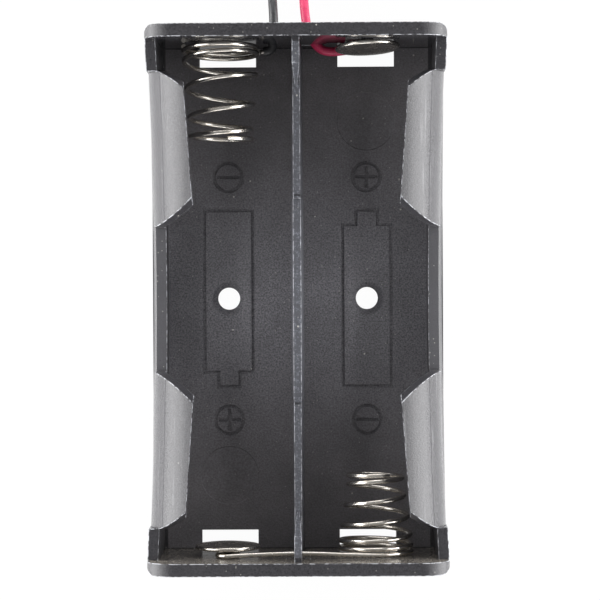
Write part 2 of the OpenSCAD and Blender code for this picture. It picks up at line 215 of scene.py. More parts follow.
black_strands, _ = tube("black_strands", strand_route(black_points), STRAND_D)
red_strands, _ = tube("red_strands", strand_route(red_points), STRAND_D)
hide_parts("black_lead", "black_lead_coil")
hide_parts("red_lead", "red_lead_coil")
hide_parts("black_lead_tip")
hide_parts("red_lead_tip")
print("bare strands, mm beyond the insulation:", STRAND_REACH[-1])

# %% [markdown]
# ## Coil springs
#
# A contact spring is hard nickel-plated wire. Its turns lie close at the wall, open
# towards the middle and close again at the free end, where the wire is cut off square.
# The source gives the share of the length that each turn has reached. The same numbers
# go through a smooth curve here, so that the wire is round and its turns are even.

# %% Middle line of a spring
WIRE_D = 0.7 * MM
WALL_Y = 36.2 * MM
WALL_GAP = 0.06 * MM
WIRE_Y = WALL_Y - WALL_GAP - WIRE_D / 2
SPRING_Z = 10 * MM
BAY_X = 10 * MM
RINGS_PER_TURN = 24
AVERAGED_TURNS = (-0.15, 0, 0.15)
LEFT_FORM = [
    (0, 0), (0.75, 0.04), (1.75, 0.097), (2.75, 0.372), (3.75, 0.7), (4.75, 0.945), (5.71, 1),
]
RIGHT_FORM = [(0, 0), (1, 0.073), (2, 0.173), (3, 0.396), (4, 0.662), (5, 0.928), (6.08, 1)]


def looked_up(form, turn):
    """The share of its length that a spring has reached after so many turns."""
    for (t0, s0), (t1, s1) in zip(form, form[1:]):
        if turn <= t1:
            return s0 + (s1 - s0) * max(0.0, turn - t0) / (t1 - t0)
    return 1.0


def spring_points(length, base_d, tip_d, form, start, slant):
    """Points of a spring wound about +Y from wall to free end; sizes in mm, angles in degrees."""
    base_r, tip_r = (base_d * MM - WIRE_D) / 2, (tip_d * MM - WIRE_D) / 2
    turns = form[-1][0]
    steps = round(turns * RINGS_PER_TURN)
    points = []
    for i in range(steps + 1):
        turn = turns * i / steps
        part = sum(looked_up(form, turn + shift) for shift in AVERAGED_TURNS) / 3
        radius = base_r + (tip_r - base_r) * part * part * (3 - 2 * part)
        angle = math.radians(start) + math.tau * turn
        lean = math.sin(math.radians(slant)) * (1 - part) * radius * math.sin(angle)
        rise = (length * MM - WIRE_D) * part - lean
        points.append(Vector((radius * math.cos(angle), rise, radius * math.sin(angle))))
    return points


print("middle of the base turns' wire, mm from the holder's middle:", round(WIRE_Y / MM, 2))

# %% Left spring
LEFT_AXIS_X = -BAY_X - 0.7 * MM
left_axis = Vector((LEFT_AXIS_X, WIRE_Y, SPRING_Z))
left_wound = spring_points(
    length=14, base_d=11.1, tip_d=9.3, form=LEFT_FORM, start=180, slant=5,
)
left_points = [left_axis + Vector((p.x, -p.y, p.z)) for p in left_wound]
left_spring, _ = tube(
    "left_coil_spring", left_points, WIRE_D, steps=2, sides=5, body=None,
)
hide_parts("negative_spring_left")
print("left spring:", len(left_spring.data.polygons), "faces")

# %% [markdown]
# ### The right spring and its link
#
# One wire makes the right spring and the link to the left contact. It hooks round that
# contact's shank, turns into a straight stretch along the wall, passes the divider
# through a small window and goes over into the first turn.

# %% Right spring with its link
RIGHT_AXIS_X = BAY_X + 0.9 * MM
RIGHT_BASE_D = 10.8
LINK_RISE = (RIGHT_BASE_D * MM - WIRE_D) / 2
LINK_BOW = ((-17.5, 0.16), (-14.5, 0.27), (-10.9, 0.36), (-7.5, 0.29), (-4, 0.13))
HOOK_R = 1.35 * MM
HOOK_Z = 0.8 * MM
BEND_R = 1.6 * MM


def arc(centre, radius, angles):
    """Points of an arc round an axis along Y, at angles in degrees."""
    return [
        centre + radius * Vector((math.cos(math.radians(a)), 0, math.sin(math.radians(a))))
        for a in angles
    ]


nail_place = Vector((-BAY_X - RIGHT_AXIS_X, 0, HOOK_Z))
hook = arc(nail_place, HOOK_R, range(20, -181, -20))
bend_place = Vector((nail_place.x - HOOK_R + BEND_R, 0, LINK_RISE - BEND_R))
corner = arc(bend_place, BEND_R, range(180, 89, -18))
link = [Vector((x * MM, bow * MM, LINK_RISE)) for x, bow in LINK_BOW]
right_wound = spring_points(
    length=11.8, base_d=RIGHT_BASE_D, tip_d=8.3, form=RIGHT_FORM, start=90, slant=0,
)
right_wound = [Vector((-p.x, p.y, p.z)) for p in right_wound]
right_axis = Vector((RIGHT_AXIS_X, -WIRE_Y, SPRING_Z))
right_points = [right_axis + p for p in hook + corner + link + right_wound]
right_spring, _ = tube(
    "right_coil_spring", right_points, WIRE_D, steps=2, sides=5, body=None,
)
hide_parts("negative_spring_right")
print("right spring:", len(right_spring.data.polygons), "faces")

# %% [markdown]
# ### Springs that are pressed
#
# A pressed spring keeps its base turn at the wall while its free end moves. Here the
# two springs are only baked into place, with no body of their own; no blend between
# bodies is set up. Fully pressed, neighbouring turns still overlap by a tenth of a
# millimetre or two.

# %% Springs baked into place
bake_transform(left_spring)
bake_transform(right_spring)

# %% [markdown]
# ## Positive contacts
#
# Each positive contact is a stamped nail: a wide head with a rounded rim and a slight
# dome, on a shank pressed into the wall. Half of its outline is spun round the axis, and
# a bevel rounds both edges of the rim, which is where the metal catches the light.

# %% A nail by spinning its outline
HEAD_R = 4.6 * MM
SHANK_R = 0.9 * MM
RIM_T = 0.6 * MM
DOME_H = 0.4 * MM
NAIL_Z = 10.8 * MM
RIM_ROUND = 0.28 * MM
DOME_RINGS = (0.93, 0.8, 0.6, 0.4, 0.2, 0)
SPIN_STEPS = 72
NEAR = 1e-6
MERGED = 1e-7


def bevelled(bm, edges, offset, segments):
    """Bevels edges of a bmesh and returns the new faces."""
    made = bmesh.ops.bevel(
        bm, geom=edges, offset=offset, offset_type="OFFSET", affect="EDGES",
        segments=segments, profile=0.5, clamp_overlap=False, material=-1,
    )
    return made["faces"]


def smooth_mesh(name, bm):
    """A smooth-shaded mesh of a bmesh, which is freed."""
    for face in bm.faces:
        face.smooth = True
    mesh = bpy.data.meshes.new(name)
    bm.to_mesh(mesh)
    bm.free()
    return mesh


def nail_mesh(name, stand, tail):
    """A nail along +Z whose wall is at z = 0; stand is the gap behind its head."""
    front = stand + RIM_T
    outline = [(0, tail), (SHANK_R, tail), (SHANK_R, stand), (HEAD_R, stand), (HEAD_R, front)]
    outline += [(HEAD_R * r, front + DOME_H * (1 - r * r)) for r in DOME_RINGS]
    bm = bmesh.new()
    verts = [bm.verts.new((r, 0, z)) for r, z in outline]
    edges = [bm.edges.new(pair) for pair in zip(verts, verts[1:])]
    bmesh.ops.spin(
        bm, geom=verts + edges, cent=(0, 0, 0), axis=(0, 0, 1), angle=math.tau,
        steps=SPIN_STEPS, use_merge=True,
    )
    bmesh.ops.remove_doubles(bm, verts=bm.verts, dist=MERGED)
    bmesh.ops.recalc_face_normals(bm, faces=bm.faces)
    rim = [
        e for e in bm.edges
        if all(abs(v.co.xy.length - HEAD_R) < NEAR for v in e.verts)
        and abs(e.verts[0].co.z - e.verts[1].co.z) < NEAR
    ]
    bevelled(bm, rim, RIM_ROUND, 4)
    return smooth_mesh(name, bm)


# %% The two nails
TAIL = -1.65 * MM
LEFT_STAND = 1.0 * MM
RIGHT_STAND = 0.5 * MM
RIGHT_TURN_DEG = 2.5
RIGHT_TILT_DEG = 5.5
left_nail_mesh = nail_mesh("left_nail", LEFT_STAND, TAIL)
left_nail_mesh.transform(
    Matrix.Translation((-BAY_X, -WALL_Y, NAIL_Z)) @ Matrix.Rotation(math.radians(-90), 4, "X")
)
left_nail = add_piece("left_nail", left_nail_mesh)
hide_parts("positive_contact_left")
right_nail_mesh = nail_mesh("right_nail", RIGHT_STAND, TAIL)
right_nail_turn = (
    Matrix.Translation((BAY_X, WALL_Y, NAIL_Z))
    @ Matrix.Rotation(math.radians(RIGHT_TURN_DEG), 4, "Z")
    @ Matrix.Rotation(math.radians(90 - RIGHT_TILT_DEG), 4, "X")
)
right_nail_mesh.transform(right_nail_turn)
right_nail = add_piece("right_nail", right_nail_mesh)
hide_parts("positive_contact_right")
print("nails:", len(left_nail_mesh.polygons), "faces each")

# %% [markdown]
# ## Soldered joints
#
# Inside the wall each lead ends in tinned strands that are soldered on: the black one
# beside the left spring's first turn, the red one round the right contact's shank.

# %% Strands with a blob of solder
def joint(name, points, blob_place, blob_size):
    """Tinned strands that run into an uneven blob of solder, as one mesh; sizes in mm."""
    bm = bmesh.new()
    bm.from_mesh(round_wire(smooth_curve(in_metres(points), 6), STRAND_D, 3))
    made = bmesh.ops.create_icosphere(bm, subdivisions=3, radius=1)
    for v in made["verts"]:
        # Two waves across the ball make it lumpy.
        bulge = 1 + 0.10 * math.sin(5 * v.co.x + 2) + 0.08 * math.sin(6 * v.co.z - 4 * v.co.y)
        v.co = Vector(blob_place) * MM + Vector(
            v.co[i] * blob_size[i] * bulge * MM for i in range(3)
        )
    return add_piece(name, smooth_mesh(name, bm))


black_joint = joint(
    "black_joint",
    points=[(-4.2, 35.35, 6.35), (-4.6, 35.3, 6.3), (-5.0, 35.22, 6.25), (-5.3, 35.15, 6.2)],
    blob_place=(-5.25, 35.2, 6.25), blob_size=(0.45, 0.4, 0.45),
)
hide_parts("black_solder")
red_joint = joint(
    "red_joint",
    points=[(6.6, 35.35, 6.3), (7.6, 35.6, 6.9), (8.3, 35.8, 8.4), (8.9, 35.9, 9.8)],
    blob_place=(9.2, 35.92, 10.2), blob_size=(0.75, 0.16, 0.8),
)
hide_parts("red_solder")
print("joints:", [len(piece.data.polygons) for piece in (black_joint, red_joint)], "faces")

# %% [markdown]
# ## Surface, lamps and surroundings
#
# The holder lies on a white surface. Low lamps stand on all sides, and the space above
# stays dark, so that the clips are bright along their flanks and dark on top.

# %% Helpers for nodes
def emptied(owner, output_kind):
    """Empties the nodes of a material or a world; returns its tree and a new output."""
    owner.use_nodes = True
    tree = owner.node_tree
    tree.nodes.clear()
    return tree, tree.nodes.new(output_kind)


def node(tree, kind, **values):
    """Adds a node, sets its properties, and sets its sockets by name."""
    made = tree.nodes.new(kind)
    for key, value in values.items():
        if key in made.bl_rna.properties:
            setattr(made, key, value)
        else:
            made.inputs[key.replace("_", " ")].default_value = value
    return made


def maths(tree, operation, first, second=None, third=None):
    """A Math node; each of its inputs is a socket or a number."""
    made = tree.nodes.new("ShaderNodeMath")
    made.operation = operation
    for socket, value in zip(made.inputs, (first, second, third)):
        if value is None:
            continue
        if isinstance(value, (int, float)):
            socket.default_value = value
        else:
            tree.links.new(value, socket)
    return made.outputs[0]


def product(tree, first, *others):
    """Sockets and numbers multiplied together, from the left."""
    for other in others:
        first = maths(tree, "MULTIPLY", first, other)
    return first


def opposite(tree, mask):
    """1 where a mask is 0, and 0 where it is 1."""
    return maths(tree, "SUBTRACT", 1.0, mask)


# %% Surface
FLOOR_HALF = 0.6
GLOW_SHARE = 0.97
GLOSSY_SHARE = 0.2
PAPER_WHITE = (0.85, 0.85, 0.85, 1)
floor_bm = bmesh.new()
bmesh.ops.create_grid(floor_bm, x_segments=1, y_segments=1, size=FLOOR_HALF)
floor_data = bpy.data.meshes.new("surface")
floor_bm.to_mesh(floor_data)
floor_bm.free()
surface = bpy.data.objects.new("surface", floor_data)
bpy.context.scene.collection.objects.link(surface)
paper = bpy.data.materials.new("white_surface")
tree, out = emptied(paper, "ShaderNodeOutputMaterial")
rays = node(tree, "ShaderNodeLightPath").outputs
seen = maths(tree, "MAXIMUM", rays["Is Camera Ray"], rays["Is Transmission Ray"])
in_gloss = product(tree, rays["Is Glossy Ray"], GLOSSY_SHARE)
share = maths(tree, "MULTIPLY_ADD", seen, GLOW_SHARE, in_gloss)
matt = node(tree, "ShaderNodeBsdfDiffuse", Color=PAPER_WHITE)
glow = node(tree, "ShaderNodeEmission")
mix = node(tree, "ShaderNodeMixShader")
for value, socket in zip((share, matt.outputs[0], glow.outputs[0]), mix.inputs):
    tree.links.new(value, socket)
tree.links.new(mix.outputs[0], out.inputs["Surface"])
floor_data.materials.append(paper)
print("surface, m across:", 2 * FLOOR_HALF)

# %% Lamps
# Width and height, place and radiance of each kind of lamp; they stand in pairs.
STRIP = (0.15, 0.034)
STRIP_X, STRIP_Z = 0.064, 0.0185
STRIP_RADIANCE = 5.8
BOX = (0.60, 0.21)
BOX_X, BOX_Z = 0.28, 0.20
BOX_RADIANCE = 2.5
END = (0.30, 0.16)
END_Y, END_Z = 0.34, 0.13
END_AIM_Z = 0.01
END_RADIANCE = 2.4


def soft_lamp(name, place, aim, size, radiance):
    """A rectangular lamp of a width and a height, whose face has this radiance; 1 is white."""
    width, height = size
    data = bpy.data.lights.new(name, "AREA")
    data.shape = "RECTANGLE"
    data.size = width
    data.size_y = height
    data.energy = radiance * math.pi * width * height
    lamp = bpy.data.objects.new(name, data)
    lamp.location = place
    lamp.rotation_euler = (Vector(aim) - Vector(place)).to_track_quat("-Z", "Y").to_euler()
    bpy.context.scene.collection.objects.link(lamp)
    return lamp


for side in (-1, 1):
    strip_place, box_place = (side * STRIP_X, 0, STRIP_Z), (side * BOX_X, 0, BOX_Z)
    strip = soft_lamp("low_strip", strip_place, (0, 0, STRIP_Z), STRIP, STRIP_RADIANCE)
    strip.visible_camera = False
    soft_lamp("side_box", box_place, (0, 0, 0), BOX, BOX_RADIANCE)
    soft_lamp("end_box", (0, side * END_Y, END_Z), (0, 0, END_AIM_Z), END, END_RADIANCE)
print("lamps:", len(bpy.data.lights))

# %% Surroundings
ROOM_LIGHT = 0.40
world = bpy.data.worlds.new("room")
bpy.context.scene.world = world
tree, out = emptied(world, "ShaderNodeOutputWorld")
seen = node(tree, "ShaderNodeLightPath").outputs["Is Camera Ray"]
back = node(tree, "ShaderNodeBackground")
strength = maths(tree, "MULTIPLY_ADD", seen, 1 - ROOM_LIGHT, ROOM_LIGHT)
tree.links.new(strength, back.inputs["Strength"])
tree.links.new(back.outputs[0], out.inputs["Surface"])
bpy.context.scene.view_settings.view_transform = "Standard"
print("surroundings: strength", ROOM_LIGHT, "for all rays but the camera's")

# %% [markdown]
# ## Housing
#
# The moulding's shape is right, but its edges are knife-sharp. A real moulding has a
# small radius on each of them, which draws thin bright lines. A merged copy of the solid
# gets a small bevel along its sharp edges, and the copy stands for the solid. Its floor
# is marked with the cells' outlines, rings and signs. The solid has them raised, but
# they are sunk in the real one, so the copy's marks go below the floor.

# %% Merged copy with its marks sunk
SHARP = math.radians(24)
FLAT = math.radians(0.4)
FLOOR_Z = 1.6 * MM
MARK_RISE = 0.25 * MM
MARK_DEPTH = 0.28 * MM
LEVEL = 0.01 * MM
bm = bmesh.new()
bm.from_mesh(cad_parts["housing"].data)
bmesh.ops.remove_doubles(bm, verts=bm.verts, dist=NEAR)
marked = [v for v in bm.verts if abs(v.co.z - FLOOR_Z - MARK_RISE) < LEVEL]
for v in marked:
    v.co.z = FLOOR_Z - MARK_DEPTH
bmesh.ops.dissolve_limit(
    bm, angle_limit=FLAT, use_dissolve_boundaries=False, verts=bm.verts, edges=bm.edges,
)
print("housing:", len(marked), "points of the floor's marks sunk")

# %% [markdown]
# ### Edges
#
# The lines in the floor are only a few tenths of a millimetre wide, so every edge that is
# level with the floor gets a smaller, flat bevel. It is a little larger round the marks
# that the mould's ejector pins left. These bevels come first: the faces of the main one
# are remembered, to be given a painted highlight, and a later bevel would take some away.

# %% Eased edges of the floor
MARK_EDGE_R = 0.03 * MM
PIN_EDGE_R = 0.075 * MM
PIN_MARK_Y = 25.6 * MM
PIN_MARK_R = 4.15 * MM
PIN_MARK_SLACK = 0.03 * MM


def is_sharp(edge):
    """Whether two faces meet at an edge, and the edge is sharp and points outwards."""
    return len(edge.link_faces) == 2 and edge.calc_face_angle_signed(0) > SHARP


def wants_easing(edge, on_pin_mark):
    """Whether a sharp edge is level with the floor, on a pin mark or off it."""
    if not is_sharp(edge) or any(abs(v.co.z - FLOOR_Z) > LEVEL for v in edge.verts):
        return False
    place = edge.verts[0].co
    radius = Vector((abs(place.x) - BAY_X, abs(place.y) - PIN_MARK_Y)).length
    return (abs(radius - PIN_MARK_R) < PIN_MARK_SLACK) == on_pin_mark


for on_pin_mark, offset in ((False, MARK_EDGE_R), (True, PIN_EDGE_R)):
    eased = [e for e in bm.edges if wants_easing(e, on_pin_mark)]
    bevelled(bm, eased, offset, 1)
    print("eased edges of the floor:", len(eased))

# %% Rounded edges of the walls, clips and divider
EDGE_R = 0.10 * MM
ROUNDED_FROM_Z = 2 * MM
LOW_WALL_X = 19 * MM
LOW_WALL_TOP = (6.5 * MM, 8.5 * MM)


def wants_rounding(edge):
    """Whether a sharp edge is above the floor, and clear of the slivers at the low walls."""
    middle = (edge.verts[0].co + edge.verts[1].co) / 2
    at_low_wall = abs(middle.x) > LOW_WALL_X and LOW_WALL_TOP[0] < middle.z < LOW_WALL_TOP[1]
    return is_sharp(edge) and middle.z > ROUNDED_FROM_Z and not at_low_wall


sharp = [e for e in bm.edges if wants_rounding(e)]
print("housing:", len(bm.faces), "faces,", len(sharp), "sharp edges")
rounded_faces = set(bevelled(bm, sharp, EDGE_R, 2))
rounded_area = sum(face.calc_area() for face in rounded_faces)
print("rounded edges:", len(rounded_faces), "faces of", round(rounded_area / MM ** 2), "square mm")

# %% Which face is an edge, a clip or an end wall
CLIP_AXIS = Vector((9.1, 10.8)) * MM
CLIP_OUTSIDE_R = 11.0 * MM
CLIP_FOOT_Z = 7.2 * MM
CLIP_END_Y = 33 * MM
CLIP_SLACK = 0.1 * MM
END_SLACK = 0.02 * MM
SQUARE_ON = 0.99

# A clip's axis bows outwards by this many metres times the square of its place along Y.
CLIP_BOW = 0.686


def on_clip(face):
    """Whether a face is on the outside of a clip."""
    centre = face.calc_center_median()
    axis_x = CLIP_AXIS.x + CLIP_BOW * centre.y ** 2
    radius = Vector((abs(centre.x) - axis_x, centre.z - CLIP_AXIS.y)).length
    in_reach = centre.z > CLIP_FOOT_Z and abs(centre.y) < CLIP_END_Y
    return in_reach and abs(radius - CLIP_OUTSIDE_R) < CLIP_SLACK


def on_end_face(face):
    """Whether a face is the inner face of an end wall."""
    centre = face.calc_center_median()
    return abs(face.normal.y) > SQUARE_ON and abs(abs(centre.y) - WALL_Y) < END_SLACK


zone_layer = bm.loops.layers.float_color.new("zones")
for face in bm.faces:
    zone = (float(face in rounded_faces), float(on_clip(face)), float(on_end_face(face)), 1)
    for loop in face.loops:
        loop[zone_layer] = zone
print("faces on clips:", sum(map(on_clip, bm.faces)), "on ends:", sum(map(on_end_face, bm.faces)))

# %% Shading, and the moulding
SHARP_BESIDE_ROUND = math.radians(12)
for face in bm.faces:
    face.smooth = True
for edge in bm.edges:
    same_kind = len({face in rounded_faces for face in edge.link_faces}) == 1
    limit = SHARP if same_kind else SHARP_BESIDE_ROUND
    edge.smooth = len(edge.link_faces) == 2 and edge.calc_face_angle(0) < limit
bmesh.ops.triangulate(bm, faces=[f for f in bm.faces if len(f.verts) > 4])
moulding_mesh = bpy.data.meshes.new("moulding")
bm.to_mesh(moulding_mesh)
bm.free()
moulding = add_piece("moulding", moulding_mesh)
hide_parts("housing")
print("moulding:", len(moulding_mesh.polygons), "faces")

# %% [markdown]
# ## Shared effects
#
# Several finishes need the same effects: the fine unevenness that a moulding or a wire
# takes from its tool, specks of dust, and long rubbing marks. Each is a node group that
# is built once and is placed in a material with that material's own values. All of them
# read Object coordinates in metres, so a scale is a count of features in one metre.

# %% Helpers for effects
def stepped(tree, value, low, high):
    """0 below low, 1 above high, and a soft step between them."""
    made = node(tree, "ShaderNodeMapRange", interpolation_type="SMOOTHSTEP", clamp=True)
    tree.links.new(value, made.inputs["Value"])
    made.inputs["From Min"].default_value = low
    made.inputs["From Max"].default_value = high
    return made.outputs[0]


def blended(tree, factor, first, second):
    """A mix of two colours; each is a socket or three numbers."""
    made = node(tree, "ShaderNodeMix", data_type="RGBA")
    tree.links.new(factor, made.inputs[0])
    for socket, value in ((made.inputs[6], first), (made.inputs[7], second)):
        if isinstance(value, tuple):
            socket.default_value = (*value, 1)
        else:
            tree.links.new(value, socket)
    return made.outputs[2]


def effect(name, inputs):
    """A new group with a Vector input, named number inputs and one output, Mask."""
    group = bpy.data.node_groups.new(name, "ShaderNodeTree")
    group.interface.new_socket("Vector", in_out="INPUT", socket_type="NodeSocketVector")
    for key, value in inputs.items():
        socket = group.interface.new_socket(key, in_out="INPUT", socket_type="NodeSocketFloat")
        socket.default_value = value
    group.interface.new_socket("Mask", in_out="OUTPUT", socket_type="NodeSocketFloat")
    return group, group.nodes.new("NodeGroupInput"), group.nodes.new("NodeGroupOutput")


def placed(tree, group, vector, **values):
    """Places an effect in a material and returns its mask."""
    made = tree.nodes.new("ShaderNodeGroup")
    made.node_tree = group
    tree.links.new(vector, made.inputs["Vector"])
    for key, value in values.items():
        made.inputs[key].default_value = value
    return made.outputs["Mask"]


# %% Grain: fine unevenness of a moulded or drawn surface
grain, g_in, g_out = effect("grain", {"Scale": 5000.0, "Detail": 3.0})
g_noise = node(grain, "ShaderNodeTexNoise", noise_dimensions="3D", Roughness=0.65)
grain.links.new(g_in.outputs["Vector"], g_noise.inputs["Vector"])
grain.links.new(g_in.outputs["Scale"], g_noise.inputs["Scale"])
grain.links.new(g_in.outputs["Detail"], g_noise.inputs["Detail"])
grain.links.new(stepped(grain, g_noise.outputs[0], 0.28, 0.72), g_out.inputs["Mask"])
print("grain:", len(grain.nodes), "nodes")

# %% Specks: scattered grains of dust
specks, s_in, s_out = effect("specks", {"Scale": 1500.0, "Size": 0.10, "Share": 0.2})
s_cells = node(specks, "ShaderNodeTexVoronoi", feature="F1")
specks.links.new(s_in.outputs["Vector"], s_cells.inputs["Vector"])
specks.links.new(s_in.outputs["Scale"], s_cells.inputs["Scale"])
s_near = maths(specks, "LESS_THAN", s_cells.outputs["Distance"], s_in.outputs["Size"])
s_split = node(specks, "ShaderNodeSeparateColor")
specks.links.new(s_cells.outputs["Color"], s_split.inputs[0])
s_chosen = maths(specks, "LESS_THAN", s_split.outputs[0], s_in.outputs["Share"])
specks.links.new(maths(specks, "MULTIPLY", s_near, s_chosen), s_out.inputs["Mask"])
print("specks:", len(specks.nodes), "nodes")

# %% Rubs: long faint marks along Y
rubs, r_in, r_out = effect("rubs", {"Scale": 900.0, "Least": 0.60})
r_long = node(rubs, "ShaderNodeMapping", vector_type="POINT", Scale=(1, 0.05, 1))
r_noise = node(rubs, "ShaderNodeTexNoise", noise_dimensions="3D", Detail=4.0, Roughness=0.6)
rubs.links.new(r_in.outputs["Vector"], r_long.inputs["Vector"])
rubs.links.new(r_long.outputs[0], r_noise.inputs["Vector"])
rubs.links.new(r_in.outputs["Scale"], r_noise.inputs["Scale"])
r_over = maths(rubs, "SUBTRACT", r_noise.outputs[0], r_in.outputs["Least"])
rubs.links.new(stepped(rubs, r_over, 0.0, 0.12), r_out.inputs["Mask"])
print("rubs:", len(rubs.nodes), "nodes")


# %% A new finish
def finish(name, roughness, metallic=0.0, **sockets):
    """A material with one Principled shader; returns it with its tree, shader and coordinates."""
    material = bpy.data.materials.new(name)
    tree, out = emptied(material, "ShaderNodeOutputMaterial")
    shader = node(
        tree, "ShaderNodeBsdfPrincipled", Roughness=roughness, Metallic=metallic, **sockets
    )
    tree.links.new(shader.outputs[0], out.inputs["Surface"])
    place = node(tree, "ShaderNodeTexCoord").outputs["Object"]
    return material, tree, shader, place


def separated(tree, place):
    """The X, Y and Z of a place, each as a socket."""
    split = node(tree, "ShaderNodeSeparateXYZ")
    tree.links.new(place, split.inputs[0])
    return split.outputs


def away_from(tree, value, middle):
    """How far a value is from a middle one, without a sign."""
    return maths(tree, "ABSOLUTE", maths(tree, "SUBTRACT", value, middle))


def raised(tree, shader, heights):
    """Chains Bump nodes, one for each height socket with its depth in metres."""
    normal = None
    for height, depth, strength in heights:
        bump = node(tree, "ShaderNodeBump", Strength=strength, Distance=depth)
        tree.links.new(height, bump.inputs["Height"])
        if normal:
            tree.links.new(normal, bump.inputs["Normal"])
        normal = bump.outputs[0]
    tree.links.new(normal, shader.inputs["Normal"])


# %% [markdown]
# ## Black moulded plastic
#
# The moulding is black, with a fine grain from the mould and a little dust. Its rounded
# edges are rough, and a painted highlight colours them pale. The inner faces of the end
# walls are polished and mirror the contacts. The clips are smooth outside, with rubbing
# marks and the mould's parting line along them. Painted light also lies on the divider,
# on the low walls' tops and on the floor towards the end walls, and painted shade on the
# divider's step. A colour attribute on the mesh says where edge, clip and polish are,
# and places tell the floor, the divider and the low walls' tops from the rest.

# %% Effects on the black plastic
plastic, tree, shader, place = finish("black_plastic", 0.25)
attribute = node(tree, "ShaderNodeVertexColor", layer_name="zones")
zones = node(tree, "ShaderNodeSeparateColor")
tree.links.new(attribute.outputs[0], zones.inputs[0])
edge, clip, polish = zones.outputs
fine = placed(tree, grain, place, Scale=4300.0, Detail=4.0)
cloud = placed(tree, grain, place, Scale=130.0, Detail=3.0)
coarse = placed(tree, grain, place, Scale=1500.0, Detail=3.0)
# Speckle for the divider's painted sheen.
sheen_speckle = stepped(tree, placed(tree, grain, place, Scale=3000.0, Detail=4.0), 0.52, 0.95)
dust = placed(tree, specks, place, Scale=1500.0, Size=0.13, Share=0.26)
motes = placed(tree, specks, place, Scale=420.0, Size=0.055, Share=0.30)
marks = placed(tree, rubs, place, Scale=1300.0, Least=0.58)
print("effects on the black plastic:", len(tree.nodes), "nodes")

# %% Places on the black plastic
INSIDE_X, INSIDE_Y = 19.0 * MM, 36.1 * MM
LOW_FADE = (2.4 * MM, 3.2 * MM)
DIVIDER_X, DIVIDER_Y, DIVIDER_FOOT_Z = 1.35 * MM, 35.5 * MM, 3.0 * MM
DIVIDER_STEP_Y = 14.6 * MM
STEP_SHADE_FADE = (0.08 * MM, 0.22 * MM)
LEDGE_X, LEDGE_Z, LEDGE_SLACK = 16.5 * MM, 7.2 * MM, 0.4 * MM
END_FADE = (4 * MM, 30 * MM)
x, y, z = separated(tree, place)
across = maths(tree, "ABSOLUTE", x)
along = maths(tree, "ABSOLUTE", y)
inside = product(
    tree, maths(tree, "LESS_THAN", across, INSIDE_X), maths(tree, "LESS_THAN", along, INSIDE_Y)
)
low = product(tree, inside, opposite(tree, stepped(tree, z, *LOW_FADE)))
divider = product(
    tree, maths(tree, "LESS_THAN", across, DIVIDER_X), maths(tree, "LESS_THAN", along, DIVIDER_Y),
    maths(tree, "GREATER_THAN", z, DIVIDER_FOOT_Z),
)
# Painted shade: a dark line across the divider where it steps down, 14.6 mm from the middle.
step_shade = product(
    tree, divider, opposite(tree, stepped(tree, away_from(tree, along, DIVIDER_STEP_Y), *STEP_SHADE_FADE))
)
# Painted light: a band at the height of the low walls' tops, 7.2 mm, is painted a lighter grey.
ledge_light = product(
    tree, maths(tree, "GREATER_THAN", across, LEDGE_X),
    maths(tree, "LESS_THAN", away_from(tree, z, LEDGE_Z), LEDGE_SLACK),
)
# Painted light: the floor is painted lighter towards the end walls.
floor_light_near_ends = stepped(tree, along, *END_FADE)
dusty = product(tree, polish, maths(tree, "LESS_THAN", y, 0.0))
print("places on the black plastic:", len(tree.nodes), "nodes")

# %% Colour of the black plastic, in layers from the lowest
colour = blended(tree, fine, (0.018, 0.017, 0.020), (0.052, 0.051, 0.057))
floor_colour = blended(tree, fine, (0.055, 0.053, 0.059), (0.225, 0.220, 0.242))
# Painted highlight: the rounded edges are painted pale grey, broken up by coarse grain.
edge_highlight = product(tree, edge, stepped(tree, coarse, 0.25, 0.75))
off_clip = maths(tree, "MULTIPLY_ADD", clip, -0.8, 1.0)
speck = product(tree, maths(tree, "MAXIMUM", product(tree, dust, 0.45), motes), off_clip)
for mask, layer in (
    (low, floor_colour),
    # Painted light on the low walls' tops.
    (product(tree, ledge_light, 0.6), (0.095, 0.094, 0.102)),
    # Painted light on the floor near the end walls.
    (product(tree, floor_light_near_ends, low, 0.45), (0.245, 0.228, 0.236)),
    (product(tree, cloud, 0.30), (0.048, 0.047, 0.051)),
    # Painted sheen: the divider is painted a lighter blue-grey with paler speckles, for the light
    # its top and flanks catch.
    (product(tree, divider, 0.5), (0.13, 0.135, 0.155)),
    (product(tree, sheen_speckle, divider, 0.35), (0.34, 0.36, 0.42)),
    # Painted shade at the divider's step.
    (product(tree, step_shade, 0.8), (0.012, 0.012, 0.014)),
    (product(tree, dusty, stepped(tree, fine, 0.2, 0.9)), (0.30, 0.27, 0.23)),
    # Painted highlight along the rounded edges.
    (product(tree, edge_highlight, 0.9), (0.42, 0.43, 0.46)),
    (product(tree, marks, clip, 0.25), (0.25, 0.25, 0.26)),
    (speck, (0.45, 0.44, 0.41)),
):
    colour = blended(tree, mask, colour, layer)
tree.links.new(colour, shader.inputs["Base Color"])
print("colour of the black plastic:", len(tree.nodes), "nodes")

# %% Roughness: satin on the whole, smoother on the clips, polished on the inner end faces
satin = maths(tree, "MULTIPLY_ADD", fine, 0.14, maths(tree, "MULTIPLY_ADD", low, 0.22, 0.27))
smooth = maths(tree, "MULTIPLY_ADD", coarse, 0.07, 0.17)
uneven = maths(tree, "MULTIPLY_ADD", clip, maths(tree, "SUBTRACT", smooth, satin), satin)
gloss = maths(tree, "MULTIPLY_ADD", coarse, 0.06, maths(tree, "MULTIPLY_ADD", dusty, 0.12, 0.06))
uneven = maths(tree, "MULTIPLY_ADD", polish, maths(tree, "SUBTRACT", gloss, uneven), uneven)
uneven = maths(tree, "MAXIMUM", uneven, product(tree, edge, 0.38))
tree.links.new(uneven, shader.inputs["Roughness"])
print("roughness of the black plastic:", len(tree.nodes), "nodes")

